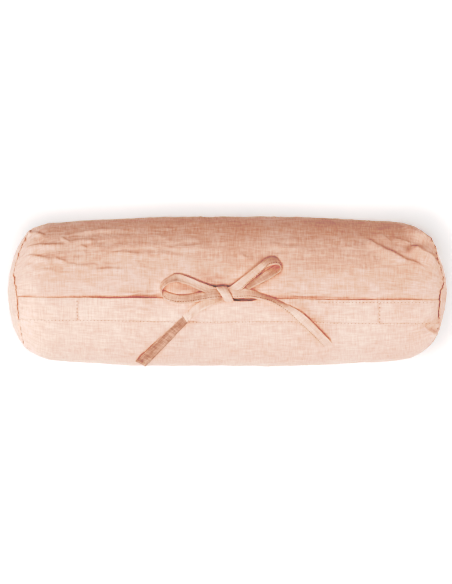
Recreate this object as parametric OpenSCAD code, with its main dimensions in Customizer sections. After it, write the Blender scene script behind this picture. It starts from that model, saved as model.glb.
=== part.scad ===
/* [Roll] */
// Length over both end panels
roll_l = 450; // [400:5:520]
// Radius of the roll at the middle of its length
roll_r = 76.5; // [70:0.5:90]
// Depth by which the underside settles flat under its own weight
settle = 6; // [4:0.5:8]
// Squareness of the shoulders: 2 is an ellipse, higher is nearer a plain cylinder
squareness = 4.1; // [3.8:0.1:4.6]
// Distance of each end seam from the middle
seam_x = 209; // [206:1:212]

/* [Cover] */
// Thickness of one layer of the cover's linen
cloth_t = 1; // [0.8:0.1:1.2]
// Thickness of the folded hem that overlaps the opening
hem_t = 1.4; // [1.2:0.1:1.6]
// Distance along the skin from the top line to the hem's free lip
lip_s = -7.5; // [-9:0.5:-6]
// Width of the overlapping hem from its lip to its stitching
hem_w = 23; // [21:0.5:25]
// Left end of the opening
opening_x0 = -152; // [-155:1:-150]
// Right end of the opening
opening_x1 = 155; // [150:1:157]
// Pitch of the machine stitches
stitch_pitch = 3.6; // [3.4:0.2:5]

/* [Ties] */
// Width of the tie straps
tie_w = 11; // [9:0.5:11]
// Thickness of the tie straps
tie_t = 1.2; // [0.8:0.1:1.3]

/* [Insert] */
// Gap between the cover's skin and the insert's ticking
insert_gap = 5; // [4.6:0.1:7]
// Thickness of the insert's ticking
ticking_t = 0.8; // [0.6:0.1:1]

/* [Hidden] */

linen = [0.94, 0.80, 0.73];
linen_shade = [0.86, 0.69, 0.61];
thread = [0.80, 0.61, 0.53];
ticking = [0.95, 0.93, 0.88];
fibre = [0.98, 0.97, 0.95];

half_l = roll_l / 2;
axis_z = roll_r - settle;
lip_a = skin_angle(lip_s);
hem_a = skin_angle(lip_s - hem_w);
// Where the bow leaves the two free stretches of lip
bow_x0 = -76;
bow_x1 = 92;
// Slack between pieces that move and pieces that lie side by side
move_gap = 0.5;
seat_gap = 0.2;
// Depths of the layers under the skin
underlap_top = hem_t + cloth_t + 0.4;
underlap_x = seam_x - 11;
underlap_w = 12;
allowance_top = hem_t + 0.2;
allowance_t = 0.8;
allowance_w = 9;
// Thread and stitches
thread_t = 0.25;
thread_w = 0.5;
stitch_l = stitch_pitch * 0.75;
insert_seam_x = seam_x - 6;
curve_step = 6;

// Angle from the top line of a point at distance s along the skin
function skin_angle(s) = s / roll_r * 180 / PI;

// The roll's long outline is a superellipse, set in by a depth
function outline_phi(x, inset) =
    sign(x) * asin(pow(min(1, abs(x) / (half_l - inset)), squareness / 2));
function outline_x(phi, inset) = sign(phi) * (half_l - inset) * pow(abs(sin(phi)), 2 / squareness);
function outline_r(phi, inset) = (roll_r - inset) * pow(max(0, cos(phi)), 2 / squareness);
function radius_at(x, inset = 0) = outline_r(outline_phi(x, inset), inset);

// Points of the outline as [radius, station] from x0 to x1
function outline(x0, x1, inset) =
    let (
        p0 = outline_phi(x0, inset),
        p1 = outline_phi(x1, inset),
        n = max(1, ceil((p1 - p0) / curve_step))
    )
    [for (i = [0:n]) let (phi = p0 + (p1 - p0) * i / n) [outline_r(phi, inset), outline_x(phi, inset)]];

function reversed(list) = [for (i = [len(list) - 1:-1:0]) list[i]];

// A point on the skin from its station, its distance along the skin and its height above it
function skin(x, s, h = 0) =
    let (a = skin_angle(s), r = radius_at(x) + h)
    [x, r * sin(a), axis_z + r * cos(a)];

function skin_normal(s) = [0, sin(skin_angle(s)), cos(skin_angle(s))];
function unit(v) = v / norm(v);

// A smooth curve through a list of points, with a number of steps in each span
function spline(p, steps) =
    let (last = len(p) - 1)
    [for (i = [0:last - 1], j = [0:steps - 1])
        let (
            u = j / steps,
            a = p[max(0, i - 1)],
            b = p[i],
            c = p[i + 1],
            d = p[min(last, i + 2)]
        )
        (2 * b + (c - a) * u + (2 * a - 5 * b + 4 * c - d) * u * u
            + (3 * b - a - 3 * c + d) * u * u * u) / 2,
    p[last]];

module along_x() {
    translate([0, 0, axis_z])
        rotate([0, 90, 0])
            children();
}

// A patch of cloth in the skin, between two stations, two angles and two depths
module patch(x0, x1, a0, a1, top, bottom) {
    along_x()
        rotate([0, 0, 180 - a1])
            rotate_extrude(angle = a1 - a0, $fn = 96)
                polygon(concat(outline(x0, x1, top), reversed(outline(x0, x1, bottom))));
}

module ring(x0, x1, top, bottom) {
    patch(x0, x1, 0, 360, top, bottom);
}

// The closed roll, set in by a depth and flat where it rests
module roll(x0, x1, inset) {
    intersection() {
        along_x()
            rotate_extrude($fn = 96)
                polygon(concat([[0, x0]], outline(x0, x1, inset), [[0, x1]]));
        translate([-roll_l, -roll_r, inset])
            cube([2 * roll_l, 2 * roll_r, 2 * roll_r]);
    }
}

// An open tube of cloth between two stations, flat where it rests
module tube(x, top, thickness) {
    difference() {
        roll(-x, x, top);
        roll(-x - 1, x + 1, top + thickness);
    }
}

// A domed end from a station out to the tip, on the side given by its sign
module dome(side, x, top, thickness) {
    mirror([side < 0 ? 1 : 0, 0, 0])
        ring(x, half_l, top, top + thickness);
}

// A row of stitches along the roll, at a distance along the skin
module long_row(x0, x1, s, depth = 0) {
    a = skin_angle(s);
    w = skin_angle(thread_w);
    for (x = [x0:stitch_pitch:x1 - stitch_l])
        patch(x, x + stitch_l, a, a + w, depth - thread_t - 0.05, depth - 0.05);
}

// A row of stitches across the hem, at a station
module cross_row(x) {
    for (s = [lip_s - hem_w + 3:stitch_pitch:lip_s - stitch_l])
        patch(x, x + thread_w, skin_angle(s), skin_angle(s + stitch_l), -thread_t - 0.05, -0.05);
}

// A strap swept along the skin through points [station, distance, height], flat on the skin
module strap(points, width) {
    path = spline(points, 3);
    last = len(path) - 1;
    places = [for (p = path) skin(p[0], p[1], p[2])];
    rings = [for (i = [0:last])
        let (
            t = unit(places[min(last, i + 1)] - places[max(0, i - 1)]),
            up = skin_normal(path[i][1]),
            side = unit(cross(up, t)),
            top = unit(cross(t, side))
        )
        for (c = [[-1, -1], [1, -1], [1, 1], [-1, 1]])
            places[i] + side * c[0] * width / 2 + top * c[1] * tie_t / 2];
    walls = [for (i = [0:last - 1], k = [0:3])
        let (a = 4 * i + k, b = 4 * i + (k + 1) % 4)
        each [[a, b, b + 4], [a, b + 4, a + 4]]];
    caps = [[3, 2, 1], [3, 1, 0], [4 * last, 4 * last + 1, 4 * last + 2],
        [4 * last, 4 * last + 2, 4 * last + 3]];
    polyhedron(rings, [for (f = concat(walls, caps)) reversed(f)], convexity = 6);
}

// A closed loop of strap that stands on edge at its tip, through points [station, distance, height]
module loop(points, side, width) {
    path = spline(concat(points, [points[0]]), 3);
    count = len(path) - 1;
    places = [for (i = [0:count - 1]) skin(path[i][0], path[i][1], path[i][2])];
    rings = [for (i = [0:count - 1])
        let (
            t = unit(places[(i + 1) % count] - places[(i + count - 1) % count]),
            top = unit(cross(t, side))
        )
        for (c = [[-1, -1], [1, -1], [1, 1], [-1, 1]])
            places[i] + side * c[0] * width / 2 + top * c[1] * tie_t / 2];
    walls = [for (i = [0:count - 1], k = [0:3])
        let (
            a = 4 * i + k,
            b = 4 * i + (k + 1) % 4,
            c = 4 * ((i + 1) % count) + (k + 1) % 4,
            d = 4 * ((i + 1) % count) + k
        )
        each [[a, b, c], [a, c, d]]];
    polyhedron(rings, [for (f = walls) reversed(f)], convexity = 6);
}

module wrap_panel() {
    color(linen)
        union() {
            difference() {
                roll(-seam_x + seat_gap, seam_x - seat_gap, 0);
                roll(-seam_x - 1, seam_x + 1, cloth_t);
                patch(-seam_x, seam_x, hem_a, lip_a, -2, cloth_t + 2);
            }
            patch(-underlap_x, underlap_x, lip_a, lip_a + 1, 0.3, underlap_top + cloth_t);
            patch(-underlap_x, underlap_x, hem_a - skin_angle(underlap_w), lip_a + 0.5,
                underlap_top, underlap_top + cloth_t);
        }
}

// A domed end with its seam allowance turned in under the wrap panel
module end_panel(side) {
    color(linen)
        union() {
            dome(side, seam_x + seat_gap, 0, cloth_t);
            mirror([side < 0 ? 1 : 0, 0, 0]) {
                ring(seam_x + seat_gap, seam_x + 1, 0.4, allowance_top + allowance_t);
                ring(seam_x - allowance_w, seam_x + 0.5, allowance_top, allowance_top + allowance_t);
            }
        }
}

module left_end_panel() {
    end_panel(-1);
}

module right_end_panel() {
    end_panel(1);
}

// A stretch of the overlapping hem
module band(x0, x1, a0 = hem_a + 0.1) {
    color(linen_shade)
        patch(x0, x1, a0, lip_a - 0.1, 0, hem_t);
}

module band_left_end() {
    band(-seam_x + seat_gap, opening_x0 - seat_gap);
}

module band_centre() {
    band(bow_x0 + move_gap, bow_x1 - move_gap);
}

module band_right_end() {
    band(opening_x1 + seat_gap, seam_x - seat_gap);
}

module left_lip() {
    band(opening_x0 + move_gap, bow_x0 - move_gap, hem_a + 0.4);
}

module right_lip() {
    band(bow_x1 + move_gap, opening_x1 - move_gap, hem_a + 0.4);
}

module hem_stitching() {
    color(thread)
        long_row(-seam_x + 3, seam_x - 3, lip_s - hem_w - 1);
}

module band_edge_stitching() {
    color(thread)
        long_row(opening_x1 + 2, seam_x - 3, lip_s - 2.5);
}

module right_lip_stitching() {
    color(thread)
        long_row(bow_x1 + 3, opening_x1 - 3, lip_s - 2.5);
}

module left_box_stitching() {
    color(thread)
        cross_row(opening_x0 - 1.5);
}

module right_box_stitching() {
    color(thread)
        cross_row(opening_x1 + 1);
}

module seam_thread(x, inset) {
    color(thread)
        ring(x - seat_gap * 0.8, x + seat_gap * 0.8, inset, inset + 0.5);
}

module left_end_seam_thread() {
    seam_thread(-seam_x, 0);
}

module right_end_seam_thread() {
    seam_thread(seam_x, 0);
}

// The knot is a rounded pad that leans to the right towards its lower edge
module bow_knot() {
    color(linen)
        hull()
            for (p = [[-8, 3, 4], [1, 4, 4], [4, -6, 4], [-3, -7, 4], [-5, 0, 6], [1, -3, 6]])
                translate(skin(p[0], p[1], p[2]))
                    sphere(r = 2.3, $fn = 16);
}

module upper_tie_end() {
    color(linen)
        patch(-7, 4, skin_angle(-5), skin_angle(6), -1.2, -0.2);
}

module lower_tie_end() {
    color(linen)
        patch(-7, 4, skin_angle(-22), lip_a - 0.1, hem_t + 0.1, hem_t + 0.9);
}

module left_loop() {
    color(linen)
        loop(
            [[-13, 2, 6.3], [-30, 8, 7.2], [-48, 13, 7], [-61, 11, 6], [-64, 3, 5],
                [-58, -5, 4.2], [-40, -8, 3.4], [-24, -6, 3.2], [-13, -2, 3.4]],
            [0, 1, 0], 6
        );
}

module right_loop() {
    color(linen)
        loop(
            [[9, 9, 6.5], [20, 18, 8], [33, 27, 8.5], [44, 31, 7.5], [50, 29, 5],
                [44, 22, 3], [32, 16, 2.4], [20, 12, 2.4], [10, 9, 3]],
            unit([1, -1, 0]), 5
        );
}

module left_tail_root() {
    color(linen)
        strap([[-9, -6, 1], [-18, -10, 1], [-28, -15, 1], [-37, -22, 1]], tie_w);
}

module left_tail() {
    color(linen)
        strap([[-39, -24, 1.1], [-45, -31, 1.1], [-58, -46, 1.1], [-70, -62, 1.1], [-80, -79, 1.1],
            [-88, -97, 1.1]], tie_w);
}

module right_tail() {
    color(linen)
        strap([[8.5, -3, 1.2], [18, -3, 1.2], [30, -4, 1.2], [44, -8, 1.2], [56, -14, 1.2],
            [68, -22, 1.2], [80, -33, 1.2], [92, -47, 1.2], [102, -61, 1.2]], tie_w);
}

module insert_tube() {
    color(ticking)
        tube(insert_seam_x - seat_gap, insert_gap, ticking_t);
}

module insert_left_end() {
    color(ticking)
        dome(-1, insert_seam_x + seat_gap, insert_gap, ticking_t);
}

module insert_right_end() {
    color(ticking)
        dome(1, insert_seam_x + seat_gap, insert_gap, ticking_t);
}

module insert_left_seam_thread() {
    seam_thread(-insert_seam_x, insert_gap);
}

module insert_right_seam_thread() {
    seam_thread(insert_seam_x, insert_gap);
}

module insert_closing_stitches() {
    color(thread)
        long_row(-60, 60, 90, insert_gap);
}

module filling() {
    color(fibre)
        roll(-roll_l, roll_l, insert_gap + ticking_t + 0.4);
}

wrap_panel();
left_end_panel();
right_end_panel();
band_left_end();
band_centre();
band_right_end();
left_lip();
right_lip();
hem_stitching();
band_edge_stitching();
right_lip_stitching();
left_box_stitching();
right_box_stitching();
left_end_seam_thread();
right_end_seam_thread();
bow_knot();
upper_tie_end();
lower_tie_end();
left_loop();
right_loop();
left_tail_root();
left_tail();
right_tail();
insert_tube();
insert_left_end();
insert_right_end();
insert_left_seam_thread();
insert_right_seam_thread();
insert_closing_stitches();
filling();
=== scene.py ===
"""Looks of the bolster pillow: a blush linen cover, tied with a bow over a filled insert."""
import math

import bmesh
import bpy
import numpy as np
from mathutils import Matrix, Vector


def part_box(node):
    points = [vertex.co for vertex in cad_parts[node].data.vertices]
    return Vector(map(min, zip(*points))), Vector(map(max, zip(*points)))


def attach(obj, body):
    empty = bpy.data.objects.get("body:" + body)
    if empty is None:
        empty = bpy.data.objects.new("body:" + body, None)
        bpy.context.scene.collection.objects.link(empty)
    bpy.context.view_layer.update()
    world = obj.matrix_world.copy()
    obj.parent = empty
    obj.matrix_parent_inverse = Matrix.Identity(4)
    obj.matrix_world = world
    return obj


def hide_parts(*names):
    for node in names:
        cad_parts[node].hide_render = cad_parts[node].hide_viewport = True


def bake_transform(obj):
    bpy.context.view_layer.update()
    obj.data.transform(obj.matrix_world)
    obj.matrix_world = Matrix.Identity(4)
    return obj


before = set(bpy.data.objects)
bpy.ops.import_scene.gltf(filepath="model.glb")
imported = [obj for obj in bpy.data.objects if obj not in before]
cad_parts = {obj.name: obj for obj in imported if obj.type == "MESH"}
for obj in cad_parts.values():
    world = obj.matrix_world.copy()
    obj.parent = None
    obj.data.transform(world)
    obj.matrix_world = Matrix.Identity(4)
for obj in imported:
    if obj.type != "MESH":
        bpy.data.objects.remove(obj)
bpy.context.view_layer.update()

# ---------------------------------------------------------------------------
# Sizes in metres. The large ones come from the frame. s is a distance along the
# skin from the top line, a is the same as an angle, and h is a height above the
# smooth roll.
# ---------------------------------------------------------------------------
MM = 0.001
ROLL = "roll"
wrap_low, wrap_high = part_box("wrap_panel")
ROLL_R = (wrap_high[1] - wrap_low[1]) / 2
AXIS_Z = wrap_high[2] - ROLL_R
HALF_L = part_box("right_end_panel")[1][0]
GIRTH = 2 * math.pi * ROLL_R
LIP_S = ROLL_R * math.asin(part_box("band_centre")[1][1] / ROLL_R)
HEM_S = ROLL_R * math.asin(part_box("band_centre")[0][1] / ROLL_R)
OPEN_LEFT, BOW_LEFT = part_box("left_lip")[0][0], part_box("left_lip")[1][0]
BOW_RIGHT, OPEN_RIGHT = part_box("right_lip")[0][0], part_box("right_lip")[1][0]
INSERT_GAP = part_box("insert_tube")[0][2]
FILLING_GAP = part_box("filling")[0][2]

# The roll's long outline: sharp shoulders, domed ends and a slight taper before the shoulders
SHOULDER_POWER = 11.9
DOME_POWER = 1.66
TAPER = 3.9 * MM
TAPER_X, TAPER_SPREAD = 162 * MM, 52 * MM
# Cloth
CLOTH_T = 0.9 * MM
TICKING_T = 0.8 * MM
BAND_T = 1.5 * MM
BAND_LIFT = 1.4 * MM
TUCK = 2.6 * MM
TIE_T = 1.1 * MM
TIE_W = 11 * MM
SEAM_DEPTH = 5 * MM
SEAM_GAP = 0.4 * MM
POCKET_DEPTH = 12 * MM
STITCH_PITCH = 3.6 * MM
TIE_STITCH_PITCH = 2.5 * MM
# The inner face of a cloth has one point for this many of its outer face's
INNER_STEP = 4
# Rows of a strap's mesh for each row of its table, and the height of its arch in millimetres
STRAP_STEPS = 12
STRAP_CUP = 0.5


# ---------------------------------------------------------------------------
# Shape functions
# ---------------------------------------------------------------------------
def smoothstep(low, high, value):
    t = np.clip((value - low) / (high - low), 0, 1)
    return t * t * (3 - 2 * t)


def bump(value, centre, spread):
    return np.exp(-(((value - centre) / spread) ** 2))


def unit(v):
    return v / np.maximum(np.linalg.norm(v, axis=-1, keepdims=True), 1e-12)


def noise(points, seed):
    """Smooth noise from about -1 to 1 at an array of points."""
    rng = np.random.default_rng(seed)
    order = rng.permutation(256)
    slopes = unit(rng.normal(size=(256, 3)))
    cell = np.floor(points).astype(int)
    f = points - cell
    w = f * f * f * (f * (6 * f - 15) + 10)
    total = 0
    for corner in np.ndindex(2, 2, 2):
        near = cell + corner
        pick = order[(order[(order[near[..., 0] & 255] + near[..., 1]) & 255] + near[..., 2]) & 255]
        share = np.prod(np.where(corner, w, 1 - w), axis=-1)
        total = total + share * ((f - corner) * slopes[pick]).sum(-1)
    return 1.7 * total


def creased(points, seed, sharpness=3):
    """Narrow ridges where smooth noise changes sign, as in crumpled linen."""
    return np.maximum(1 - np.abs(noise(points, seed)) * sharpness, 0) ** 1.5


def outline_table():
    """The long outline from the middle to the tip: distance along it, station, radius and normal."""
    t = np.linspace(0, 1, 6000)
    x = HALF_L * (1 - (1 - t) ** 3)
    taper = TAPER * bump(x, TAPER_X, TAPER_SPREAD)
    r = (ROLL_R - taper) * np.maximum(1 - (x / HALF_L) ** SHOULDER_POWER, 0) ** (1 / DOME_POWER)
    step = np.hypot(np.diff(x), np.diff(r))
    along = np.concatenate([[0], np.cumsum(step)])
    nx, nr = -np.gradient(r), np.gradient(x)
    size = np.hypot(nx, nr)
    return along, x, r, nx / size, nr / size


ALONG, OUT_X, OUT_R, OUT_NX, OUT_NR = outline_table()


def along_at(x):
    """Distance along the outline of a station, negative on the left."""
    return np.sign(x) * np.interp(np.abs(x), OUT_X, ALONG)


def surface(along, a, inset=0.0):
    """Points and normals of the smooth roll, set in by a depth and settled flat underneath."""
    side, far = np.sign(along), np.abs(along)
    nx, nr = np.interp(far, ALONG, OUT_NX) * side, np.interp(far, ALONG, OUT_NR)
    x = np.interp(far, ALONG, OUT_X) * side - inset * nx
    r = np.interp(far, ALONG, OUT_R) - inset * nr
    normal = np.stack([nx + 0 * a, nr * np.sin(a), nr * np.cos(a)], axis=-1)
    z = AXIS_Z + r * np.cos(a) - inset
    corner = 3 * MM
    z = (z + np.sqrt(z * z + corner * corner)) / 2 - 0.25 * MM + inset
    return np.stack([x + 0 * a, r * np.sin(a), z], axis=-1), normal


# The end seams, as degrees round from the top and the station there in millimetres
LEFT_SEAM = [(-180, 203), (-100, 203), (-80, 205), (-60, 210), (-40, 213), (-20, 214), (-5, 215), (11, 217.3),
             (27, 218.5), (38, 216.8), (54, 213), (60, 210), (73, 205), (82, 201), (100, 199), (180, 203)]
RIGHT_SEAM = [(-180, 205), (-100, 206), (-78, 211), (-62, 215.5), (-51, 214.5), (-35, 216.5), (-12, 217),
              (0, 218.2), (9, 220.3), (16, 221), (28, 220.2), (42, 217.2), (58, 214), (72, 209), (90, 204),
              (180, 205)]


def seam_along(side, a):
    """Where the end seam runs: further out over the top than at the sides, and never quite true."""
    table = np.array(LEFT_SEAM if side < 0 else RIGHT_SEAM, float)
    x = np.interp(np.degrees(a), table[:, 0], table[:, 1])
    ring = np.stack([np.sin(a), np.cos(a), 0 * a + side], axis=-1)
    x = x + 0.5 * noise(ring * 5, 31)
    return np.interp(x * MM, OUT_X, ALONG)


def straight(x, y):
    """Distance along the skin of a line that stays straight when it is seen from above."""
    r = np.interp(np.abs(x), OUT_X, OUT_R)
    return ROLL_R * np.arcsin(np.clip(y / np.maximum(r, 40 * MM), -0.9, 0.9))


def hem_s(x):
    y = ROLL_R * math.sin((HEM_S - 0.6 * MM) / ROLL_R) - 0.009 * x + 0.3 * MM * np.sin(x / 0.031)
    return straight(x, y)


def lip_s(x):
    pulled = 2.2 * MM * smoothstep(4 * MM, 8 * MM, x) * (1 - smoothstep(24 * MM, 33 * MM, x))
    dipped = 0.9 * MM * bump(x, -118 * MM, 14 * MM)
    y = LIP_S + 0.4 * MM - 0.008 * x + 0.25 * MM * np.sin(x / 0.023) - pulled - dipped
    return straight(x, y)


# Folds that stand out, seen from above: start x and y, end x and y, spread of the gentle side
# and of the steep side, which faces +Y, and height, in millimetres
FOLDS = [
    (-106, -2.4, -62, -0.2, 2.6, 0.8, 1.0),
    (24, 1.0, 56, -0.6, 2.6, 0.8, 1.0),
    (52, -0.2, 94, -4.6, 2.4, 0.8, 0.8),
    (180, 65, 206, 53.5, 4.5, 1.1, 2.6),
    (188, 46, 213, 30, 4.5, 0.9, 3.2),
    (143, 51, 163, 42, 5.0, 2.4, 1.3),
    (158, 43.5, 183, 31, 6.0, 2.0, 2.0),
    (176, 35, 202, 24, 6.0, 1.6, 1.2),
    (170, 55, 190, 47, 3.0, 1.3, 0.9),
    (206, 62, 214, 40, 2.5, 1.3, 0.8),
    (153, 60, 168, 50, 3.0, 1.2, 0.6),
    (183, 40, 196, 45, 3.0, 1.4, 0.6),
    (160, 0, 182, 1, 5.0, 3.0, 0.7),
    (199, -37, 214, -42.5, 4.0, 1.3, 2.4),
    (196, -44, 212, -50, 4.0, 2.0, 0.7),
    (13, 40, 21, 33, 2.0, 1.0, 0.5),
    (-206, 45, -168, 48, 4.0, 1.2, 1.0),
    (-170, 55, -161, 51, 2.0, 0.8, 0.7),
    (-162, 51, -132, 52, 3.5, 1.2, 0.8),
    (-150, 47.5, -143, 44, 1.8, 0.8, 0.6),
    (-205, 36, -180, 33, 4.0, 1.4, 0.9),
    (-176, 34, -164, 30, 2.2, 0.9, 0.7),
    (-166, 26.5, -134, 26.5, 3.0, 1.2, 0.7),
    (-138, 21.5, -104, 23, 4.0, 1.4, 0.8),
    (-192, 21.5, -176, 21, 3.0, 1.2, 0.6),
    (-150, 60, -112, 65, 3.0, 1.0, 0.9),
    (-118, 40, -84, 38, 3.0, 1.2, 0.5),
    (-205, 59, -186, 58, 3.0, 1.0, 1.0),
    (-112, -17.4, -95, -16.4, 2.0, 0.8, 0.5),
    (-95, -16.4, -77, -18.4, 2.0, 0.8, 0.5),
    (-52, -66, 34, -61, 4.0, 1.6, 0.6),
    (-190, -46, -150, -48, 5.0, 2.0, 0.5),
    (40, 48, 78, 44, 4.0, 1.6, 0.5),
    (-60, 44, -22, 47, 4.0, 1.6, 0.5),
    (92, 22, 130, 18, 5.0, 2.0, 0.5),
]


def fold_height(x, y):
    """The named folds. Each rises gently from its lower side and drops away steeply on its upper side."""
    total = 0
    for x0, y0, x1, y1, gentle, steep, height in FOLDS:
        start, run = np.array([x0, y0]) * MM, np.array([x1 - x0, y1 - y0]) * MM
        px, py = x - start[0], y - start[1]
        size = np.hypot(*run)
        t = (px * run[0] + py * run[1]) / size**2
        gap = (py * run[0] - px * run[1]) / size
        gap = gap + 0.5 * MM * np.sin(t * size / 0.004 + x0)
        inside = smoothstep(-0.1, 0.25, t) * (1 - smoothstep(0.7, 1.1, t))
        spread = np.where(gap < 0, gentle, steep) * MM
        total = total + 1.9 * height * MM * inside * np.exp(-((gap / spread) ** 2))
    return total


def relief(along, a, base):
    """Height of the cloth's lumps, wrinkles and gathers above the smooth roll."""
    x, s = base[..., 0], a * ROLL_R
    lumps = 0.8 * noise(base / 0.060, 1) + 0.55 * noise(base / 0.027, 2)
    bend = 0.5 * noise(base / 0.05, 3)
    drawn = base * [1 / 0.055, 1 / 0.008, 1 / 0.008] + bend[..., None]
    upper_left = bump(x, -0.145, 0.085) * bump(s, 0.062, 0.055)
    long_wrinkles = (0.22 + 0.45 * upper_left) * noise(drawn, 4)
    slant = np.stack([x / 0.016 - s / 0.030, x / 0.060 + s / 0.045, 0 * x + 0.5], axis=-1)
    upper_right = bump(x, 0.165, 0.07) * bump(s, 0.045, 0.06)
    slanted = (0.16 + 0.75 * upper_right) * noise(slant + bend[..., None], 5)
    warped = base + 6 * MM * np.stack([noise(base / 0.03, k) for k in (11, 12, 13)], axis=-1)
    crumple = 0.7 * creased(warped / 0.026, 6) + 0.45 * creased(warped / 0.012, 7)
    busy = 0.45 + 0.55 * smoothstep(-0.3, 0.6, noise(base / 0.08, 8)) - 0.3 * upper_left
    height = lumps + long_wrinkles + slanted + busy * (crumple - 0.1)
    side = np.where(along < 0, -1.0, 1.0)
    to_seam = np.abs(np.where(side < 0, seam_along(-1, a), seam_along(1, a)) - np.abs(along))
    ring = np.stack([np.sin(a), np.cos(a), side], axis=-1)
    inside = np.abs(along) < np.where(side < 0, seam_along(-1, a), seam_along(1, a))
    pleats = noise(ring * np.array([11.0, 11.0, 1.7]), 9)
    pleats = pleats + 0.5 * noise(ring * np.array([24.0, 24.0, 2.3]), 10)
    reach = np.where(inside, 0.014, 0.011)
    upward = 0.35 + 0.65 * smoothstep(0.0, 0.6, np.cos(a))
    height = height + np.where(inside, 1.1, 0.8) * pleats * np.exp(-to_seam / reach) * upward
    height = height + (0.8 * bump(to_seam, 0.004, 0.003) - 1.2 * bump(to_seam, 0, 0.0012)) * upward
    rests = smoothstep(0.0, 0.02, base[..., 2])
    seen = smoothstep(AXIS_Z - 0.01, AXIS_Z + 0.01, base[..., 2])
    return height * MM * rests + seen * fold_height(x, base[..., 1])


def pocket(x, above):
    """The hollow under the tie on the right of the knot, where the bow pulls the opening apart."""
    span = smoothstep(3 * MM, 7 * MM, x) * (1 - smoothstep(25 * MM, 30 * MM, x))
    return -POCKET_DEPTH * span * bump(above, 1.6 * MM, 2.6 * MM)


def drawn_in(x, y):
    """The wide dent above the knot, where the bow pulls the cloth down."""
    return -4.5 * MM * bump(x, -2 * MM, 19 * MM) * bump(y, 9 * MM, 9 * MM)


def dented(base, a):
    """How far the bow presses into the roll."""
    x, y = base[..., 0], base[..., 1]
    return (pocket(x, a * ROLL_R - lip_s(x)) + drawn_in(x, y)) * (base[..., 2] > AXIS_Z)


def skin(x, s, h):
    """Points at a height above the smooth roll, from station, distance along the skin and height."""
    base, normal = surface(along_at(x), s / ROLL_R)
    return base + normal * np.asarray(h)[..., None]


# ---------------------------------------------------------------------------
# Mesh helpers
# ---------------------------------------------------------------------------
def new_mesh(name, verts, faces, uv):
    """A smooth shaded mesh object with outward normals and, as its UV map, a flat layout in metres."""
    mesh = bpy.data.meshes.new(name)
    mesh.from_pydata(np.asarray(verts).reshape(-1, 3).tolist(), [], faces)
    bm = bmesh.new()
    bm.from_mesh(mesh)
    bmesh.ops.recalc_face_normals(bm, faces=bm.faces)
    bm.to_mesh(mesh)
    bm.free()
    mesh.shade_smooth()
    corner = np.empty(len(mesh.loops), int)
    mesh.loops.foreach_get("vertex_index", corner)
    layer = mesh.uv_layers.new(name="cloth")
    layer.data.foreach_set("uv", np.asarray(uv).reshape(-1, 2)[corner].astype(np.float32).ravel())
    obj = bpy.data.objects.new(name, mesh)
    bpy.context.collection.objects.link(obj)
    return obj


def grid_faces(index):
    a, b, c, d = index[:-1, :-1], index[:-1, 1:], index[1:, 1:], index[1:, :-1]
    return np.stack([a, b, c, d], axis=-1).reshape(-1, 4).tolist()


def rim_faces(outer, inner):
    """Closes a shell's rim where the outer edge has a whole number of times more points than the inner."""
    step = (len(outer) - 1) // (len(inner) - 1)
    faces = []
    for i in range(len(inner) - 1):
        run = [int(v) for v in outer[i * step:(i + 1) * step + 1]]
        half = len(run) // 2
        low, high = int(inner[i]), int(inner[i + 1])
        faces += [[run[j], run[j + 1], low] for j in range(half)]
        faces.append([run[half], high, low])
        faces += [[run[j], run[j + 1], high] for j in range(half, len(run) - 1)]
    return faces


def shell(name, points, normals, thickness, uv):
    """A closed cloth from a grid of its outer face, with a coarser inner face a thickness below."""
    step = INNER_STEP
    rows, columns = points.shape[:2]
    outer = np.arange(rows * columns).reshape(rows, columns)
    inner_points = (points - normals * thickness)[::step, ::step]
    inner = np.arange(inner_points.shape[0] * inner_points.shape[1]).reshape(inner_points.shape[:2])
    inner = inner + rows * columns
    faces = grid_faces(outer) + grid_faces(inner[::-1])
    for o, i in ((outer[0], inner[0]), (outer[-1, ::-1], inner[-1, ::-1]),
                 (outer[::-1, 0], inner[::-1, 0]), (outer[:, -1], inner[:, -1])):
        faces += rim_faces(o, i)
    verts = np.concatenate([points.reshape(-1, 3), inner_points.reshape(-1, 3)])
    layout = np.concatenate([uv.reshape(-1, 2), uv[::step, ::step].reshape(-1, 2)])
    return new_mesh(name, verts, faces, layout)


def tube(name, rings, uv, caps=True):
    """A closed solid from a list of closed rings, with crisp rims where it is cut off.

    Without caps its last ring joins its first.
    """
    count, around = rings.shape[:2]
    index = np.arange(count * around).reshape(count, around)
    lines = index if caps else np.concatenate([index, index[:1]])
    faces = grid_faces(np.concatenate([lines, lines[:, :1]], axis=1))
    if caps:
        faces += [index[0].tolist(), index[-1][::-1].tolist()]
    obj = new_mesh(name, rings, faces, uv)
    if caps:
        ends = np.empty(len(obj.data.edges) * 2, int)
        obj.data.edges.foreach_get("vertices", ends)
        ends = ends.reshape(-1, 2)
        rim = (ends < around).all(axis=1) | (ends >= (count - 1) * around).all(axis=1)
        obj.data.attributes.new("sharp_edge", "BOOLEAN", "EDGE").data.foreach_set("value", rim)
    return obj


def spline(points, steps):
    """A smooth curve through rows of numbers."""
    p = np.asarray(points, float)
    last = len(p) - 1
    u = np.arange(steps)[:, None] / steps
    spans = []
    for i in range(last):
        a, b, c, d = p[max(0, i - 1)], p[i], p[i + 1], p[min(last, i + 2)]
        spans.append((2 * b + (c - a) * u + (2 * a - 5 * b + 4 * c - d) * u**2
                      + (3 * b - a - 3 * c + d) * u**3) / 2)
    return np.concatenate(spans + [p[-1:]])


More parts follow.
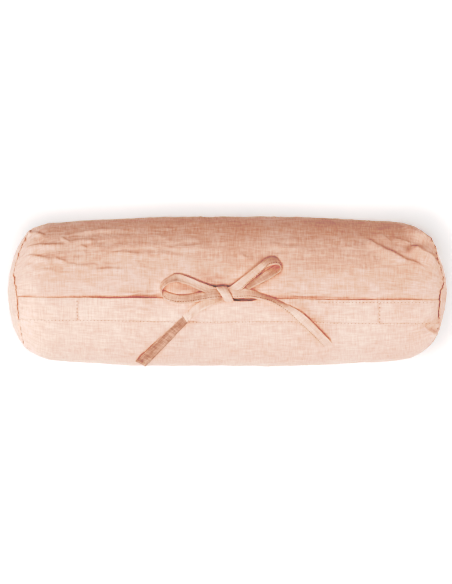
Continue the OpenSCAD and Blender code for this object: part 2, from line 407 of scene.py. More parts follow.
def stitches(name, centres, ways, ups, length, width):
    """Thread stitches as small beads that lie along the cloth."""
    around, rings = 6, np.array([-1, -0.72, 0, 0.72, 1])
    girth = np.array([0.15, 0.8, 1, 0.8, 0.15])
    turn = np.arange(around) * 2 * math.pi / around
    ways, ups = unit(ways), unit(ups)
    sides = unit(np.cross(ups, ways))
    verts, faces = [], []
    for c, way, up, across in zip(centres, ways, ups, sides):
        start = len(verts) * len(rings) * around
        ring = (c + way * (rings * length / 2)[:, None, None]
                + across * (girth[:, None] * np.cos(turn) * width / 2)[..., None]
                + up * (girth[:, None] * np.sin(turn) * width / 2)[..., None])
        verts.append(ring)
        index = start + np.arange(len(rings) * around).reshape(len(rings), around)
        faces += grid_faces(np.concatenate([index, index[:, :1]], axis=1))
        faces += [index[0].tolist(), index[-1][::-1].tolist()]
    verts = np.array(verts)
    return new_mesh(name, verts, faces, verts.reshape(-1, 3)[:, :2])


# ---------------------------------------------------------------------------
# Materials
# ---------------------------------------------------------------------------
class Nodes:
    """Short names for building a node tree."""

    def __init__(self, name):
        self.material = bpy.data.materials.new(name)
        self.material.use_nodes = True
        self.tree = self.material.node_tree
        self.shader = self.tree.nodes["Principled BSDF"]

    def add(self, kind, settings=None, **inputs):
        node = self.tree.nodes.new(kind)
        for key, value in (settings or {}).items():
            setattr(node, key, value)
        for key, value in inputs.items():
            self.put(node.inputs[int(key[1:])] if key[0] == "i" and key[1:].isdigit() else
                     node.inputs[key.replace("_", " ")], value)
        return node

    def put(self, socket, value):
        if isinstance(value, bpy.types.NodeSocket):
            self.tree.links.new(value, socket)
        else:
            socket.default_value = value

    def math(self, operation, a, b=0.0):
        return self.add("ShaderNodeMath", {"operation": operation}, i0=a, i1=b).outputs[0]

    def stretch(self, vector, scale):
        node = self.add("ShaderNodeMapping", i0=vector)
        node.inputs["Scale"].default_value = scale
        return node.outputs[0]

    def cloud(self, vector, detail=2.0, roughness=0.5):
        node = self.add("ShaderNodeTexNoise", Vector=vector, Scale=1.0, Detail=detail, Roughness=roughness)
        return node.outputs["Fac"]

    def blend(self, amount, low, high):
        node = self.add("ShaderNodeMix", {"data_type": "RGBA"}, i0=amount)
        self.put(node.inputs[6], low)
        self.put(node.inputs[7], high)
        return node.outputs[2]

    def ramp(self, value, low, high):
        node = self.add("ShaderNodeMapRange", i0=value, i1=low, i2=high)
        return node.outputs[0]

    def bumps(self, layers):
        """Stacks bumps given as (height socket, strength, distance in metres)."""
        normal = None
        for height, strength, distance in layers:
            node = self.add("ShaderNodeBump", Height=height, Strength=strength, Distance=distance)
            if normal is not None:
                self.put(node.inputs["Normal"], normal)
            normal = node.outputs["Normal"]
        self.put(self.shader.inputs["Normal"], normal)


def woven(name, dark, light, thread=0.85 * MM, slub=1.0, sheen=0.03, patches=0.0):
    """Plain woven cloth: two sets of uneven threads, slubs, soft clouds of colour and small creases."""
    n = Nodes(name)
    flat = n.add("ShaderNodeUVMap", {"uv_map": "cloth"}).outputs[0]
    solid = n.add("ShaderNodeTexCoord").outputs["Object"]
    wander = n.cloud(n.stretch(flat, (90, 90, 1)), 1.0)
    u, v = n.add("ShaderNodeSeparateXYZ", i0=flat).outputs[:2]
    per_metre = math.pi / thread
    drift = n.math("MULTIPLY", wander, 5.0)
    across = n.math("SINE", n.math("ADD", n.math("MULTIPLY", u, per_metre), drift))
    down = n.math("SINE", n.math("ADD", n.math("MULTIPLY", v, per_metre), drift))
    weave = n.math("MULTIPLY", across, down)
    weft = n.cloud(n.stretch(flat, (75, 820, 1)), 3.0, 0.7)
    warp = n.cloud(n.stretch(flat, (880, 60, 1)), 3.0, 0.7)
    slubs = n.math("ADD", weft, warp)
    mottle = n.cloud(n.stretch(flat, (60, 230, 1)), 2.0, 0.6)
    clouds = n.math("ADD", n.cloud(n.stretch(solid, (14, 14, 14)), 3.0), mottle)
    creases = n.cloud(n.stretch(solid, (120, 120, 120)), 4.0, 0.6)
    shade = n.math("ADD", n.math("MULTIPLY", slubs, 0.85 * slub), n.math("MULTIPLY", clouds, 0.5))
    shade = n.math("ADD", shade, n.math("MULTIPLY", weave, 0.06))
    patch = n.cloud(n.stretch(solid, (150, 150, 150)), 1.0)
    shade = n.math("ADD", shade, n.math("MULTIPLY", patch, patches))
    middle = 0.85 * slub + 0.5 + 0.5 * patches
    amount = n.ramp(shade, middle - 0.23, middle + 0.23)
    n.put(n.shader.inputs["Base Color"], n.blend(amount, dark, light))
    n.put(n.shader.inputs["Roughness"], n.ramp(slubs, 0.2, 2.2))
    n.shader.inputs["Sheen Weight"].default_value = sheen
    n.shader.inputs["Sheen Roughness"].default_value = 0.45
    n.shader.inputs["Sheen Tint"].default_value = (1.0, 0.86, 0.78, 1)
    n.shader.inputs["Specular IOR Level"].default_value = 0.08
    n.bumps([(creases, 0.35, 0.35 * MM), (slubs, 0.35, 0.16 * MM), (weave, 0.35, 0.10 * MM)])
    return n.material


def spun(name, dark, light):
    """Twisted sewing thread."""
    n = Nodes(name)
    solid = n.add("ShaderNodeTexCoord").outputs["Object"]
    twist = n.add("ShaderNodeTexWave", {"bands_direction": "DIAGONAL"}, Vector=solid, Scale=900.0,
                  Distortion=1.5).outputs["Fac"]
    fuzz = n.cloud(n.stretch(solid, (1500, 1500, 1500)))
    n.put(n.shader.inputs["Base Color"], n.blend(n.math("MULTIPLY", twist, fuzz), dark, light))
    n.put(n.shader.inputs["Roughness"], n.ramp(fuzz, -0.9, 1.1))
    n.shader.inputs["Sheen Weight"].default_value = 0.3
    n.bumps([(twist, 0.5, 0.08 * MM)])
    return n.material


LINEN = woven("linen", (0.785, 0.573, 0.508, 1), (0.905, 0.72, 0.66, 1))
TIE_LINEN = woven("tie_linen", (0.745, 0.548, 0.482, 1), (0.87, 0.695, 0.633, 1), slub=0.9)
# A darker, greyer copy of the tie linen for the loops' inner faces: painted shade.
TIE_INNER_PAINTED_SHADE = woven("tie_inner_painted_shade", (0.68, 0.508, 0.45, 1), (0.835, 0.665, 0.605, 1), slub=0.9)
# A darker, patchy copy of the tie linen for the left tail past its fold: painted shade.
TIE_PAINTED_SHADE_TAIL = woven("tie_painted_shade_tail", (0.45, 0.34, 0.305, 1), (0.67, 0.515, 0.465, 1), slub=0.9, patches=0.4)
# The stitches are real thread. Their dark colour is painted shade, standing in for shaded needle holes and
# the seam valley.
THREAD_WITH_PAINTED_SHADE = spun("thread", (0.40, 0.25, 0.20, 1), (0.56, 0.38, 0.32, 1))
TICKING = woven("ticking", (0.74, 0.70, 0.62, 1), (0.88, 0.85, 0.78, 1), thread=0.6 * MM)
FIBRE = woven("fibre", (0.80, 0.78, 0.73, 1), (0.93, 0.92, 0.89, 1), slub=0.4, sheen=0.15)


def finish_piece(obj, material, slot, *nodes):
    obj.data.materials.append(material)
    if nodes:
        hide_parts(*nodes)
    return obj


# ---------------------------------------------------------------------------
# Camera and light
# ---------------------------------------------------------------------------
# The tone curve: levels of light, each with the level it is shown at
TONES = [(0.2, 0.04), (0.42, 0.16), (0.6, 0.54), (0.76, 0.78), (0.92, 0.91)]


def make_camera():
    """Straight above the roll, far enough away to look nearly flat."""
    height, view_width = 12.0, 0.4644
    data = bpy.data.cameras.new("camera")
    data.sensor_fit = "HORIZONTAL"
    data.sensor_width = 36
    data.lens = 36 * (height - AXIS_Z) / view_width
    camera = bpy.data.objects.new("camera", data)
    camera.location = (-0.001, -0.0007, height)
    bpy.context.collection.objects.link(camera)
    bpy.context.scene.camera = camera


def add_light(name, place, target, size, power):
    data = bpy.data.lights.new(name, "AREA")
    data.shape = "RECTANGLE"
    data.size, data.size_y = size
    data.energy = power
    light = bpy.data.objects.new(name, data)
    light.location = place
    way = np.array(target, float) - np.array(place, float)
    flat = math.hypot(way[0], way[1])
    light.rotation_euler = (math.atan2(flat, -way[2]), 0, math.atan2(-way[0], way[1]) if flat > 1e-6 else 0)
    bpy.context.collection.objects.link(light)


def make_stage():
    """A plain pale floor under soft studio light, the strongest from above, with fills all round."""
    bpy.ops.mesh.primitive_plane_add(size=12, location=(0, 0, 0))
    floor = bpy.context.object
    floor.name = "floor"
    n = Nodes("floor")
    n.shader.inputs["Base Color"].default_value = (0.90, 0.90, 0.90, 1)
    n.shader.inputs["Roughness"].default_value = 0.9
    n.shader.inputs["Emission Color"].default_value = (1, 1, 1, 1)
    n.shader.inputs["Emission Strength"].default_value = 0.22
    floor.data.materials.append(n.material)
    world = bpy.data.worlds.new("studio")
    world.use_nodes = True
    world.node_tree.nodes["Background"].inputs["Color"].default_value = (1, 0.93, 0.9, 1)
    world.node_tree.nodes["Background"].inputs["Strength"].default_value = 0.01
    bpy.context.scene.world = world
    add_light("top", (-0.15, -0.25, 2.4), (0, 0, 0), (1.1, 0.9), 36)
    add_light("front", (-0.5, -1.7, 1.7), (0, 0, 0.05), (0.9, 0.7), 2)
    add_light("low", (0, -2.1, 0.35), (0, 0, 0.05), (1.2, 0.5), 14)
    add_light("left", (-1.9, 0, 0.6), (0, 0, 0.05), (0.8, 0.6), 15)
    add_light("right", (1.9, 0, 0.6), (0, 0, 0.05), (0.8, 0.6), 13)
    add_light("back", (0, 1.3, 1.9), (0, 0, 0.05), (1.2, 0.8), 9)
    set_tones()


def set_tones():
    """The crisp tones of a product photograph: pale cloth stays pale and its shadows turn deep and warm."""
    view = bpy.context.scene.view_settings
    view.view_transform = "Standard"
    view.use_curve_mapping = True
    curve = view.curve_mapping.curves[3]
    for level, shown in TONES:
        point = curve.points.new(level, shown)
        point.handle_type = "VECTOR"
    view.curve_mapping.update()


# ---------------------------------------------------------------------------
# Cover
# ---------------------------------------------------------------------------
def under_band(x, above):
    """How far the wrap panel dips where it passes under the band."""
    tucked = -0.6 * MM * (1 - smoothstep(-4 * MM, 7 * MM, above))
    loose = bump(x, -108 * MM, 42 * MM) + 1.3 * bump(x, 85 * MM, 62 * MM)
    depth = 0.75 + 0.4 * np.sin(x / 0.013) + 1.3 * loose
    return tucked - depth * MM * bump(above, -0.3 * MM, (1.0 + 0.5 * loose) * MM)


def wrap_points(along, s):
    """The wrap panel's outer face. s runs from the hem, down the front, round and up to the underlap."""
    a = s / ROLL_R
    round_a = np.where(a < -math.pi, a + 2 * math.pi, a)
    base, normal = surface(along, round_a)
    x = base[..., 0]
    top_s = s + GIRTH
    front = hem_s(x) - s
    height = relief(along, round_a, base)
    height = height + BAND_LIFT * (1 - smoothstep(0, 24 * MM, front)) * (s > -GIRTH / 2)
    above = top_s - lip_s(x)
    behind = s < -GIRTH / 2
    height = height + np.where(behind, under_band(x, above) + dented(base, round_a), 0)
    height = height - 0.1 * MM * bump(front, 0, 1.0 * MM)
    return base + normal * height[..., None], normal


def wrap_grid():
    """Angles round the wrap panel, close together where the cloth shows."""
    turns = [(-22.8, -112, 72), (-112, -248, 36), (-248, -368, 132), (-368, -396, 16)]
    angles = [np.linspace(lo, hi, n, endpoint=False) for lo, hi, n in turns] + [[-396.0]]
    return np.radians(np.concatenate(angles)) * ROLL_R


def with_turned_in(grid):
    """Adds two columns at each end of a grid, for the seam allowances."""
    return np.concatenate([grid[:, :1], grid[:, :1], grid, grid[:, -1:], grid[:, -1:]], axis=1)


def make_wrap_panel():
    t = np.linspace(-1, 1, 297)
    t = t + 0.25 * t * (1 - t * t)
    s = wrap_grid()[:, None]
    share = np.linspace(0, 1, len(s))[:, None]
    round_a = np.where(s / ROLL_R < -math.pi, s / ROLL_R + 2 * math.pi, s / ROLL_R)
    left, right = seam_along(-1, round_a), seam_along(1, round_a)
    along = np.where(t < 0, t * (left - SEAM_GAP), t * (right - SEAM_GAP))
    x = np.interp(np.abs(along), ALONG, OUT_X) * np.sign(along)
    s = s + (hem_s(x) - s[0]) * (1 - smoothstep(0, 0.08, share))
    points, normals = wrap_points(along, s + 0 * along)
    bend = 2.0 * MM
    left_edge, right_edge = points[:, :1], points[:, -1:]
    left_up, right_up = normals[:, :1], normals[:, -1:]
    points = np.concatenate([left_edge - left_up * SEAM_DEPTH, left_edge - left_up * bend, points,
                             right_edge - right_up * bend, right_edge - right_up * SEAM_DEPTH], axis=1)
    uv = np.stack([along, s + 0 * along], axis=-1)
    panel = shell("wrap_panel_cloth", points, with_turned_in(normals), CLOTH_T, with_turned_in(uv))
    finish_piece(panel, LINEN, "linen", "wrap_panel")
    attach(panel, ROLL)
    return panel


def make_end_panel(side, node):
    """A round panel that domes outwards, gathered where it meets the seam."""
    turned_from = 0.97
    edge = np.linspace(-1, 1, 105)
    u, v = np.meshgrid(edge, edge, indexing="ij")
    reach = np.maximum(np.abs(u), np.abs(v))
    flat = np.abs(u) >= np.abs(v)
    safe_u, safe_v = np.where(u == 0, 1e-9, u), np.where(v == 0, 1e-9, v)
    angle = np.where(flat, math.pi / 4 * v / safe_u + np.where(u < 0, math.pi, 0),
                     math.pi / 2 - math.pi / 4 * u / safe_v + np.where(v < 0, math.pi, 0))
    a = np.arctan2(np.sin(angle), np.cos(angle))
    share = np.minimum(reach / turned_from, 1)
    start = seam_along(side, a) + SEAM_GAP
    along = ALONG[-1] - (ALONG[-1] - start) * share
    base, normal = surface(side * along, a)
    depth = SEAM_DEPTH * np.clip((reach - turned_from) / (1 - turned_from), 0, 1)
    height = relief(side * along, a, base)
    points = base + normal * (height - depth)[..., None]
    uv = base[..., 1:] + 0.6
    panel = shell(f"{node}_cloth", points, normal, CLOTH_T, uv)
    finish_piece(panel, LINEN, "linen", node)
    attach(panel, ROLL)
    return panel


def band_section():
    """The folded hem's cross-section: share of the way from hem to lip, and depth below its outer face."""
    tucked = [(-TUCK, 1.1 * MM), (-1.2 * MM, 0.55 * MM), (-0.5 * MM, 0.25 * MM)]
    width = LIP_S - HEM_S
    face = [(q * width, 0.0) for q in np.linspace(0.0, 0.94, 26)]
    turn = np.linspace(0, math.pi, 7)
    edge = [(width - BAND_T / 2 + math.sin(t) * BAND_T / 2, (1 - math.cos(t)) * BAND_T / 2) for t in turn]
    back = [(q * width, BAND_T) for q in np.linspace(0.88, 0.1, 9)] + [(-TUCK, 1.1 * MM + 0.5 * MM)]
    return np.array(tucked + face + edge + back)


def lip_lift(x):
    """Where the free lips stand a little off the cloth under them."""
    left = 1.5 * smoothstep(-0.150, -0.128, x) * (1 - smoothstep(-0.090, -0.076, x))
    right = 1.1 * smoothstep(0.094, 0.112, x) * (1 - smoothstep(0.138, 0.154, x))
    return (left + right) * MM


def band_points(x, q, depth):
    """Points of the overlapping hem from station, distance up from the hem and depth."""
    width = LIP_S - HEM_S
    stretch = (lip_s(x) - hem_s(x)) / width
    s = hem_s(x) + q * stretch
    a = s / ROLL_R
    along = along_at(x)
    base, normal = surface(along, a)
    share = np.clip(q / width, 0, 1)
    puff = 0.7 * MM * np.sin(math.pi * share)
    ruck = np.stack([x / 0.007, s / 0.030, 0 * x], axis=-1)
    busy = smoothstep(-0.2, 0.7, noise(np.stack([x / 0.04, 0 * x, 0 * x], axis=-1), 21))
    puff = puff + 0.75 * MM * noise(ruck, 22) * np.sin(math.pi * share) * busy
    fold = 0.25 * MM * bump(q, width * 0.5 + 0.002 * np.sin(x / 0.02), 1.6 * MM)
    to_seam = np.where(along < 0, seam_along(-1, a), seam_along(1, a)) - np.abs(along)
    free = smoothstep(-1 * MM, 16 * MM, to_seam)
    height = 0.1 * MM + (BAND_LIFT - 0.1 * MM) * free + relief(along, a, base)
    height = height + (puff - fold) * smoothstep(0, 0.06, share) * free
    boxed = bump(x, OPEN_LEFT, 0.9 * MM) + bump(x, OPEN_RIGHT, 0.9 * MM)
    height = height + lip_lift(x) * share**3 - 0.1 * MM * bump(q, 0, 1.0 * MM) - 0.5 * MM * boxed
    return base + normal * (height - depth)[..., None], normal, s


def seam_station(side, q):
    """Station of the end seam where it crosses the hem, for distances up from the hem."""
    end_radius = 0.72 * ROLL_R
    a = (HEM_S + q) / end_radius
    return side * (np.interp(seam_along(side, a), ALONG, OUT_X) - SEAM_GAP)


def make_band(name, x0, x1):
    """One stretch of the overlapping hem as a closed folded strip, from one station to another."""
    section = band_section()
    count = max(8, int((np.max(x1) - np.min(x0)) / (1.5 * MM)))
    x = x0 + (x1 - x0) * np.linspace(0, 1, count + 1)[:, None] + 0 * section[:, 0]
    points, _, s = band_points(x, section[:, 0] + 0 * x, section[:, 1] + 0 * x)
    uv = np.stack([x, s + section[:, 1] * 2], axis=-1)
    strip = finish_piece(tube(name, points, uv), LINEN, "linen")
    return strip


def make_bands():
    """The fixed and the free stretches of the hem. A free one lifts in its middle, between sewn ends."""
    q = band_section()[:, 0]
    for name, node, x0, x1 in (
        ("band_left_end_cloth", "band_left_end", seam_station(-1, q), OPEN_LEFT),
        ("band_centre_cloth", "band_centre", BOW_LEFT, BOW_RIGHT),
        ("band_right_end_cloth", "band_right_end", OPEN_RIGHT, seam_station(1, q)),
    ):
        strip = make_band(name, x0, x1)
        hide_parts(node)
        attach(strip, ROLL)
    for lip, x0, x1 in (("left_lip", OPEN_LEFT, BOW_LEFT), ("right_lip", BOW_RIGHT, OPEN_RIGHT)):
        middle = (x0 + x1) / 2
        for part, a, b in (("outer", x0, middle), ("inner", middle, x1)):
            strip = make_band(f"{lip}_{part}_cloth", a, b)
            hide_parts(lip)
            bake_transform(strip)


def row_on_band(x0, x1, q, pitch):
    """Places, directions and normals of a row of stitches along the hem."""
    x = np.arange(x0, x1, pitch)
    side = np.full_like(x, q)
    here, normal, _ = band_points(x, side, np.zeros_like(x))
    ahead, _, _ = band_points(x + 0.5 * MM, side, np.zeros_like(x))
    return here, ahead - here, normal


def row_across_band(x, q0, q1, pitch):
    q = np.arange(q0, q1, pitch)
    place = np.full_like(q, x)
    here, normal, _ = band_points(place, q, np.zeros_like(q))
    ahead, _, _ = band_points(place, q + 0.5 * MM, np.zeros_like(q))
    return here, ahead - here, normal


def sewn(name, row, slot_nodes, body=ROLL, length=1.0 * MM, width=0.5 * MM):
    here, way, up = row
    piece = stitches(name, here + unit(up) * 0.02 * MM, way, up, length, width)
    finish_piece(piece, THREAD_WITH_PAINTED_SHADE, "thread", *slot_nodes)
    if body:
        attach(piece, body)
    return piece


def make_cover_stitches():
    width = LIP_S - HEM_S
    # The long rows stop just short of the end seams
    near_left, near_right = -211 * MM, 214 * MM
    # These short dark stitches also stand in for the shade in their needle holes: painted shade.
    sewn("hem_stitches", row_on_band(near_left, near_right, -0.7 * MM, STITCH_PITCH), ["hem_stitching"])
    edge_q = width - 2.6 * MM
    sewn("band_edge_stitches", row_on_band(OPEN_RIGHT + 2 * MM, near_right, edge_q, STITCH_PITCH),
         ["band_edge_stitching"])
    sewn("left_box_stitches", row_across_band(OPEN_LEFT - 1.5 * MM, 1 * MM, width - 1 * MM, STITCH_PITCH),
         ["left_box_stitching"], length=1.7 * MM, width=0.65 * MM)
    sewn("right_box_stitches", row_across_band(OPEN_RIGHT + 1.5 * MM, 1 * MM, width - 1 * MM, STITCH_PITCH),
         ["right_box_stitching"], length=1.7 * MM, width=0.65 * MM)
    middle = (BOW_RIGHT + OPEN_RIGHT) / 2
    for part, x0, x1, a, b in (
        ("inner", BOW_RIGHT + 1 * MM, middle - 1 * MM, BOW_RIGHT, middle),
        ("outer", middle + 1 * MM, OPEN_RIGHT - 1 * MM, OPEN_RIGHT, middle),
    ):
        piece = sewn(f"right_lip_{part}_stitches", row_on_band(x0, x1, edge_q, STITCH_PITCH),
                     ["right_lip_stitching"], body=None)
        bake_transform(piece)


def make_seam_thread(side, node):
    """The end seam's thread, down in the valley between the two panels and raised out of it over the top,
    where its dark colour draws the seam line as painted shade.
    """
    a = np.arange(0, 2 * math.pi, 3.0 * MM / (0.8 * ROLL_R))
    a = np.arctan2(np.sin(a), np.cos(a))

    def place(angle):
        along = side * seam_along(side, angle)
        base, normal = surface(along, angle)
        # Over the top the thread is raised to the surface, so its dark colour draws the seam line: painted
        # shade.
        raised = 1.3 * MM * np.clip(2 * np.cos(angle), 0, 1) * (0.4 + 0.6 * smoothstep(-0.8, -0.5, angle))
        height = relief(along, angle, base) + raised
        return base + normal * height[..., None], normal

    here, normal = place(a)
    ahead, _ = place(a + 0.01)
    piece = stitches(f"{node}_stitches", here, ahead - here, normal, 2.8 * MM, 0.45 * MM)
    finish_piece(piece, THREAD_WITH_PAINTED_SHADE, "thread", node)
    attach(piece, ROLL)


# ---------------------------------------------------------------------------
# Ties
# ---------------------------------------------------------------------------
def strap_surface(rows, steps):
    """A strap's two edges, its direction and normals, and the length so far. Rows are in millimetres."""
    rows = np.asarray(rows, float)
    first, second = spline(rows[:, :3], steps) * MM, spline(rows[:, 3:], steps) * MM
    one, two = (skin(x, ROLL_R * np.arcsin(y / (ROLL_R + h)), h) for x, y, h in (first.T, second.T))
    middle = (one + two) / 2
    way = np.gradient(middle, axis=0)
    normal = unit(np.cross(two - one, way))
    length = np.concatenate([[0], np.cumsum(np.linalg.norm(np.diff(middle, axis=0), axis=-1))])
    return one, two, unit(way), normal, length


def make_strap(name, rows, seed, cup=STRAP_CUP, steps=STRAP_STEPS, turned=None, inner=None):
    """A folded and edge-stitched linen strap as a closed solid.

    Past the turned row it takes a darker tie linen, painted shade. A loop's inner face is 0, the face that
    its normal points out of, or 1, the other; that face takes a darker, greyer tie linen, painted shade.
    """
    one, two, _, normal, length = strap_surface(rows, steps)
    across = np.linspace(0, 1, 17)
    here = one[:, None] + (two - one)[:, None] * across[:, None]
    wave = np.stack([length[:, None] / 0.012 + 0 * across, across * 1.4 + 0 * length[:, None],
                     np.full((len(length), len(across)), seed + 0.5)], axis=-1)
    arch = cup * MM * (4 * across * (1 - across)) + 0.22 * MM * noise(wave, 40 + seed)
    arch = arch - 0.18 * MM * bump(across, 0.83, 0.035)
    thick = TIE_T / 2 * (0.35 + 0.65 * np.sqrt(np.maximum(1 - np.abs(2 * across - 1) ** 9, 0)))
    thick = thick + 0.12 * MM * smoothstep(0.72, 0.8, across)
    n = normal[:, None]
    over = here + n * (arch + thick)[..., None]
    under = here + n * (arch - thick)[..., None]
    rings = np.concatenate([over, under[:, ::-1]], axis=1)
    v = across * TIE_W
    layout = np.concatenate([v, v[::-1] + 0.02])
    uv = np.stack([length[:, None] + 0 * layout, layout + 0 * length[:, None] + 0.1 * seed], axis=-1)
    strap = tube(name, rings, uv)
    strap.data.materials.append(TIE_LINEN)
    around = rings.shape[1]
    # Faces past the turned row take the darker tie linen: painted shade.
    if turned is not None:
        strap.data.materials.append(TIE_PAINTED_SHADE_TAIL)
        for face in strap.data.polygons:
            face.material_index = int(min(face.vertices) >= turned * steps * around)
    # The loop's inner face takes the darker, greyer tie linen: painted shade.
    if inner is not None:
        strap.data.materials.append(TIE_INNER_PAINTED_SHADE)
        for face in strap.data.polygons:
            halves = {v % around // len(across) for v in face.vertices}
            face.material_index = int(halves == {inner})
    return strap


def picked(table, length, want):
    """Rows of a table along a strap, at the lengths wanted."""
    return np.stack([np.interp(want, length, table[:, k]) for k in range(3)], axis=-1)


def end_row(rows):
    """Places, directions and normals of a few stitches across a strap's end, on its other face."""
    near_end = -4
    one, two, _, normal, _ = strap_surface(rows, STRAP_STEPS)
    share = np.linspace(0.12, 0.88, 5)[:, None]
    across, up = (two - one)[near_end], normal[near_end]
    lift = STRAP_CUP * 4 * share * (1 - share) * MM - TIE_T / 2
    return one[near_end] + across * share + up * lift, across + 0 * share, -up + 0 * share


def strap_stitches(name, rows, closed_end):
    """The dotted row along a strap's folded edge, and across its end where that is sewn shut."""
    one, two, way, normal, length = strap_surface(rows, STRAP_STEPS)
    want = np.arange(0, length[-1], TIE_STITCH_PITCH)
    share = 0.84
    up = unit(picked(normal, length, want))
    lift = (STRAP_CUP * 4 * share * (1 - share)) * MM + TIE_T / 2
    here = picked(one + (two - one) * share, length, want) + up * lift
    ways = picked(way, length, want)
    if closed_end:
        here, ways, up = (np.concatenate(pair) for pair in zip((here, ways, up), end_row(rows)))
    return finish_piece(stitches(name, here, ways, up, 1.6 * MM, 0.5 * MM), THREAD_WITH_PAINTED_SHADE, "thread")


# Each row is one edge's x, y and height above the roll, then the other edge's, in millimetres
LEFT_LOOP = [
    (-8, 3, 4.2, -8, -6, 3.6),
    (-17, 6, 5.6, -15, -4, 4.4),
    (-27, 9.5, 7.0, -24.5, -0.5, 6.0),
    (-35, 13, 8.0, -33, 3.6, 7.8),
    (-44.5, 16.6, 8.2, -42.5, 7.6, 9.4),
    (-51.5, 18, 5.4, -50.5, 9.4, 11.6),
    (-58, 15.6, 2.4, -56.5, 8.8, 12.6),
    (-64, 11.8, 1.8, -62, 6, 12.6),
    (-67.4, 7.4, 1.8, -65, 3, 11.2),
    (-67.8, 3.5, 1.8, -66.6, -0.5, 9.8),
    (-64.5, 1.2, 2.0, -66.3, -4.6, 7.2),
    (-57.5, -1.6, 2.0, -61.5, -9.2, 6.2),
    (-48, -3.4, 1.8, -50.5, -12.2, 7.6),
    (-38, -2.6, 1.8, -38, -11.8, 9.2),
    (-25, 0.2, 2.8, -24, -9.4, 9.2),
    (-14, 2.4, 4.6, -12, -7.6, 8.2),
    (-7, 2.4, 5.0, -5, -7.2, 5.6),
]
RIGHT_LOOP = [
    (1, 4, 4.4, 7, -3, 3.8),
    (6, 7, 5.8, 15, 1.5, 4.6),
    (14, 13, 9.4, 21.5, 7.6, 5.4),
    (25, 21.5, 12.2, 31.5, 16.4, 6.4),
    (33.5, 28.5, 12.4, 38, 22.6, 7.2),
    (40, 33.8, 7.2, 42.8, 25.6, 10.6),
    (45.8, 36, 3.0, 48, 27.4, 12.4),
    (50.8, 34.5, 1.8, 52.6, 27.2, 12.2),
    (52.6, 31, 2.4, 55.2, 24.8, 10.4),
    (51.6, 28, 1.8, 54.4, 20.8, 8.6),
    (45, 24.5, 1.7, 48, 15.6, 8.6),
    (34, 17.5, 1.7, 39.5, 10.6, 7.6),
    (24, 11.5, 1.4, 31, 6, 6.0),
    (12, 6, 2, 17, -1, 2),
]
LEFT_TAIL = [
    (-2, -2.5, 4, -2, -9.5, 3.4),
    (-11, -5, 3.4, -11.5, -12.8, 3.2),
    (-23, -8, 3, -23.5, -18.4, 3),
    (-33, -13.5, 2.9, -33, -25, 3),
    (-38, -18, 3.0, -36.6, -28.2, 5.0),
    (-41, -21, 5.0, -38.6, -29.8, 3.8),
    (-45, -25, 2.2, -40.6, -32, 6.0),
    (-57, -36.7, 1.6, -50, -42.2, 7.4),
    (-69, -48.3, 1.5, -60.6, -53.5, 8.2),
    (-82, -60.9, 1.8, -72, -65.6, 9.0),
    (-93.6, -72.2, 2.6, -83.2, -77.4, 9.6),
]
RIGHT_TAIL = [
    (1, 4.5, 5, 4, -7, 4.6),
    (7, 5.2, 4.4, 9, -7.4, 5.4),
    (14, 4.8, 3.0, 16.5, -7.0, 6.6),
    (24, 2.8, 1.8, 25, -6.8, 8.4),
    (33, -0.6, 1.4, 32, -7.8, 9.8),
    (43.5, -4.6, 1.2, 41.5, -10.0, 10.6),
    (54, -9.6, 1.6, 49.5, -13.8, 10.2),
    (63.5, -14, 2.6, 57.4, -18.8, 8.0),
    (71.5, -18.4, 5.6, 64.5, -24, 3.6),
    (79, -24, 6.4, 71.5, -31, 2.2),
    (86, -30.6, 5.4, 78.5, -37.4, 1.8),
    (96, -41, 3.4, 88.5, -47, 1.8),
    (107, -53, 2.4, 98.5, -57.5, 1.8),
]
KNOT_WRAP = [
    (-1.5, -8.4, 2.4, 7.4, -8.0, 2.4),
    (-2.8, -9.6, 5.2, 7.0, -9.4, 5.0),
    (-4.4, -6.6, 8.4, 5.6, -6.2, 7.8),
    (-7.0, -2.2, 9.6, 3.6, -1.8, 9.0),
    (-9.8, 1.6, 8.8, 1.4, 2.2, 8.2),
    (-11.6, 3.8, 6.0, 0.0, 4.8, 5.6),
    (-11.4, 2.8, 2.6, 0.2, 3.8, 2.4),
]
UPPER_TIE_END = [
    (-8.5, 3, 1.6, 2.5, 3, 1.6),
    (-8, -1.5, 1.4, 3, -1.5, 1.4),
    (-8, -6.5, 2.4, 3, -6.5, 2.4),
]
LOWER_TIE_END = [
    (-6, -22, 0.4, 4, -22, 0.4),
    (-6, -12, 0.4, 4, -12, 0.4),
    (-6, -5, 1.6, 4, -5, 1.6),
]


def make_knot():
    """The strap that wraps the knot, over the bundled straps inside it."""
    wrap = make_strap("bow_knot_cloth", KNOT_WRAP, seed=5, cup=0.9, steps=10)
    turn = np.linspace(0, 2 * math.pi, 28, endpoint=False)
    lean = np.linspace(-1, 1, 13)
    rings = []
    for t in lean:
        size = math.sqrt(max(1 - 0.97 * t * t, 0))
        s = -2.6 + t * 6.6 + 0 * turn
        x = -1.8 - t * 4.6 + 5.6 * size * np.cos(turn)
        h = 4.6 + 3.6 * size * np.sin(turn)
        rings.append(skin(x * MM, s * MM, h * MM))
    core = tube("bow_knot_core", np.array(rings), np.array(rings)[..., :2])
    finish_piece(core, TIE_LINEN, "linen")
    for piece in (wrap, core):
        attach(piece, ROLL)
        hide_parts("bow_knot")


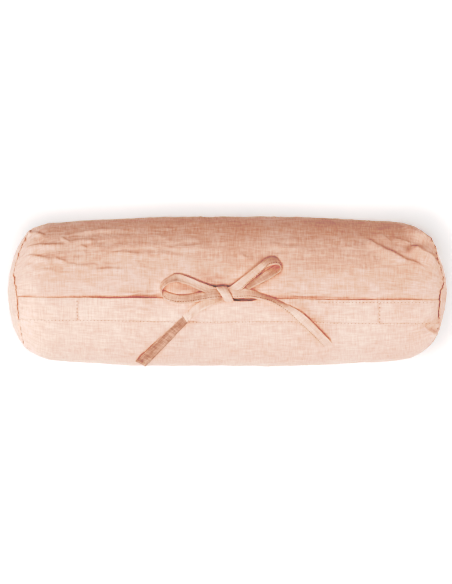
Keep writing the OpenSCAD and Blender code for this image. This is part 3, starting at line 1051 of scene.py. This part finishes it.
def make_bow():
    make_knot()
    # inner picks the loop face in the darker tie linen, and turned the row past which the left tail takes it:
    # both painted shade.
    runs = (
        ("left_loop", LEFT_LOOP, ["left_loop"], (-9, 0), (-22, 0), {"seed": 1, "inner": 0}, "folded"),
        ("right_loop", RIGHT_LOOP, ["right_loop"], (5, 4), (15, 13), {"seed": 2, "inner": 1}, "folded"),
        ("left_tail", LEFT_TAIL, ["left_tail", "left_tail_root"], (-30, -14), (-46, -32),
         {"seed": 3, "turned": 6}, "draped"),
        ("right_tail", RIGHT_TAIL, ["right_tail"], (6, 0), (20, 0), {"seed": 4}, "draped"),
    )
    for body, rows, nodes, start, end, settings, held in runs:
        strap = make_strap(f"{body}_cloth", rows, **settings)
        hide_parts(*nodes)
        dots = strap_stitches(f"{body}_stitches", rows, closed_end=body == "left_tail")
        for piece in (strap, dots):
            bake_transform(piece)
    for node, rows, seed in (("upper_tie_end", UPPER_TIE_END, 6), ("lower_tie_end", LOWER_TIE_END, 7)):
        strap = make_strap(f"{node}_cloth", rows, seed, cup=0.0, steps=6)
        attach(strap, ROLL)
        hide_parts(node)


# ---------------------------------------------------------------------------
# Insert
# ---------------------------------------------------------------------------
def insert_points(along, a, inset):
    base, normal = surface(along, a, inset)
    height = 0.5 * MM * noise(base / 0.05, 51) + 0.25 * MM * noise(base / 0.015, 52)
    under_pocket = bump(base[..., 0], 15 * MM, 15 * MM) * bump(base[..., 1], -8 * MM, 9 * MM)
    height = height + dented(base, a) - 1.5 * MM * under_pocket
    return base + normal * (height * smoothstep(0.005, 0.03, base[..., 2]))[..., None], normal


def insert_seam():
    """How far along the outline the insert's end seams are."""
    return float(np.interp(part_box("insert_tube")[1][0], OUT_X, ALONG)) - INSERT_GAP


def make_ticking_tube():
    seam = insert_seam()
    t = np.linspace(-1, 1, 121)[None, :]
    a = np.linspace(-math.pi, math.pi, 145)[:, None]
    points, normals = insert_points(t * seam + 0 * a, a + 0 * t, INSERT_GAP)
    uv = np.stack([t * seam + 0 * a, a * ROLL_R + 0 * t], axis=-1)
    bag = shell("insert_tube_ticking", points, normals, TICKING_T, uv)
    finish_piece(bag, TICKING, "ticking", "insert_tube")
    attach(bag, ROLL)


def make_ticking_end(side, name):
    """A round end of the ticking bag and the thread that sews it on."""
    seam = insert_seam()
    share = np.linspace(1, 0.004, 29)[:, None]
    around = np.linspace(-math.pi, math.pi, 97)[None, :-1]
    along = side * (ALONG[-1] - (ALONG[-1] - seam) * share) + 0 * around
    outer, normal = insert_points(along, around + 0 * share, INSERT_GAP)
    inner = outer - normal * TICKING_T
    rings = np.concatenate([outer, inner[::-1]])
    end = tube(f"insert_{name}_end_ticking", rings, rings[..., 1:], caps=False)
    finish_piece(end, TICKING, "ticking", f"insert_{name}_end")
    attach(end, ROLL)
    turn = np.linspace(-math.pi, math.pi, 121)[:-1]
    here, normal = insert_points(side * seam + 0 * turn, turn, INSERT_GAP)
    ahead, _ = insert_points(side * seam + 0 * turn, turn + 0.01, INSERT_GAP)
    thread = stitches(f"insert_{name}_seam_stitches", here, ahead - here, normal, 2 * MM, 0.5 * MM)
    finish_piece(thread, THREAD_WITH_PAINTED_SHADE, "thread", f"insert_{name}_seam_thread")
    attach(thread, ROLL)


def make_closing_stitches():
    """The slanting hand stitches that close the gap the bag was filled through."""
    x = np.arange(-60, 60, 3.6) * MM
    here, normal = insert_points(along_at(x), math.pi / 2 + 0 * x, INSERT_GAP)
    ways = np.tile([1.0, 0, 0.25], (len(x), 1))
    closing = stitches("insert_closing_thread", here, ways, normal, 2.6 * MM, 0.5 * MM)
    finish_piece(closing, THREAD_WITH_PAINTED_SHADE, "thread", "insert_closing_stitches")
    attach(closing, ROLL)


def make_filling():
    t = np.linspace(0.001, 0.999, 101)[:, None]
    a = np.linspace(-math.pi, math.pi, 97)[None, :-1]
    along = (2 * t - 1) * ALONG[-1] + 0 * a
    base, normal = surface(along, a + 0 * t, FILLING_GAP)
    height = (0.8 * noise(base / 0.02, 53) - 1.0) * MM + 1.3 * dented(base, a + 0 * t)
    rings = base + normal * height[..., None]
    core = tube("filling_fibre", rings, np.stack([along, a * ROLL_R + 0 * t], axis=-1))
    finish_piece(core, FIBRE, "fibre", "filling")
    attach(core, ROLL)


def make_insert():
    """The ticking bag with sewn ends, and the filling inside it."""
    make_ticking_tube()
    make_ticking_end(-1, "left")
    make_ticking_end(1, "right")
    make_closing_stitches()
    make_filling()


make_camera()
make_stage()
make_wrap_panel()
make_end_panel(-1, "left_end_panel")
make_end_panel(1, "right_end_panel")
make_bands()
make_cover_stitches()
make_seam_thread(-1, "left_end_seam_thread")
make_seam_thread(1, "right_end_seam_thread")
make_bow()
make_insert()
